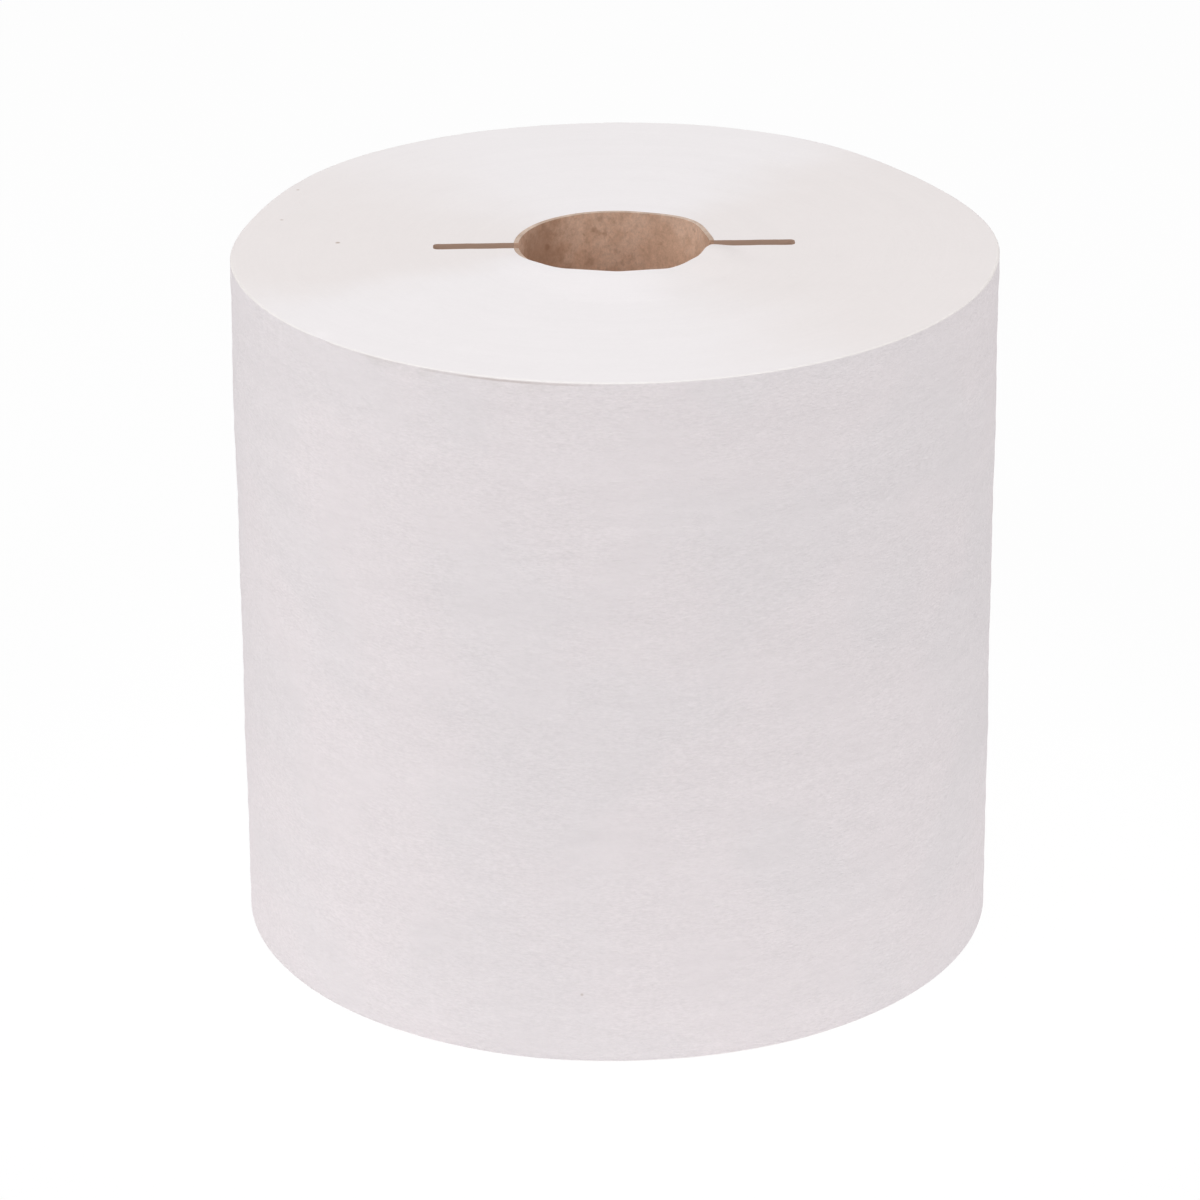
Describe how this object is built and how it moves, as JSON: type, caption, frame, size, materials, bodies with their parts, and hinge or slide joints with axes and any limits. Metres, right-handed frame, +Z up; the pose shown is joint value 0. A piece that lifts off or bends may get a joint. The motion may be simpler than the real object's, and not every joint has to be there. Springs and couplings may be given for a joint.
{
  "type": "paper towel roll",
  "caption": "Hard-wound paper towel roll on a paperboard core, standing on its end, with a key slot cut across the top end.",
  "frame": {"origin": "centre of the roll's bottom end, on its axis, where it stands", "axes": "+Z up along the roll's axis towards the slotted end, +X along the key slot"},
  "size_m": [0.2039, 0.2039, 0.1905],
  "materials": {
    "towel_paper": "matt, faintly creped, white",
    "core_board": "matt brown board"
  },
  "bodies": {
    "root": {"towel_web": "towel_paper", "core": "core_board"}
  },
  "joints": []
}
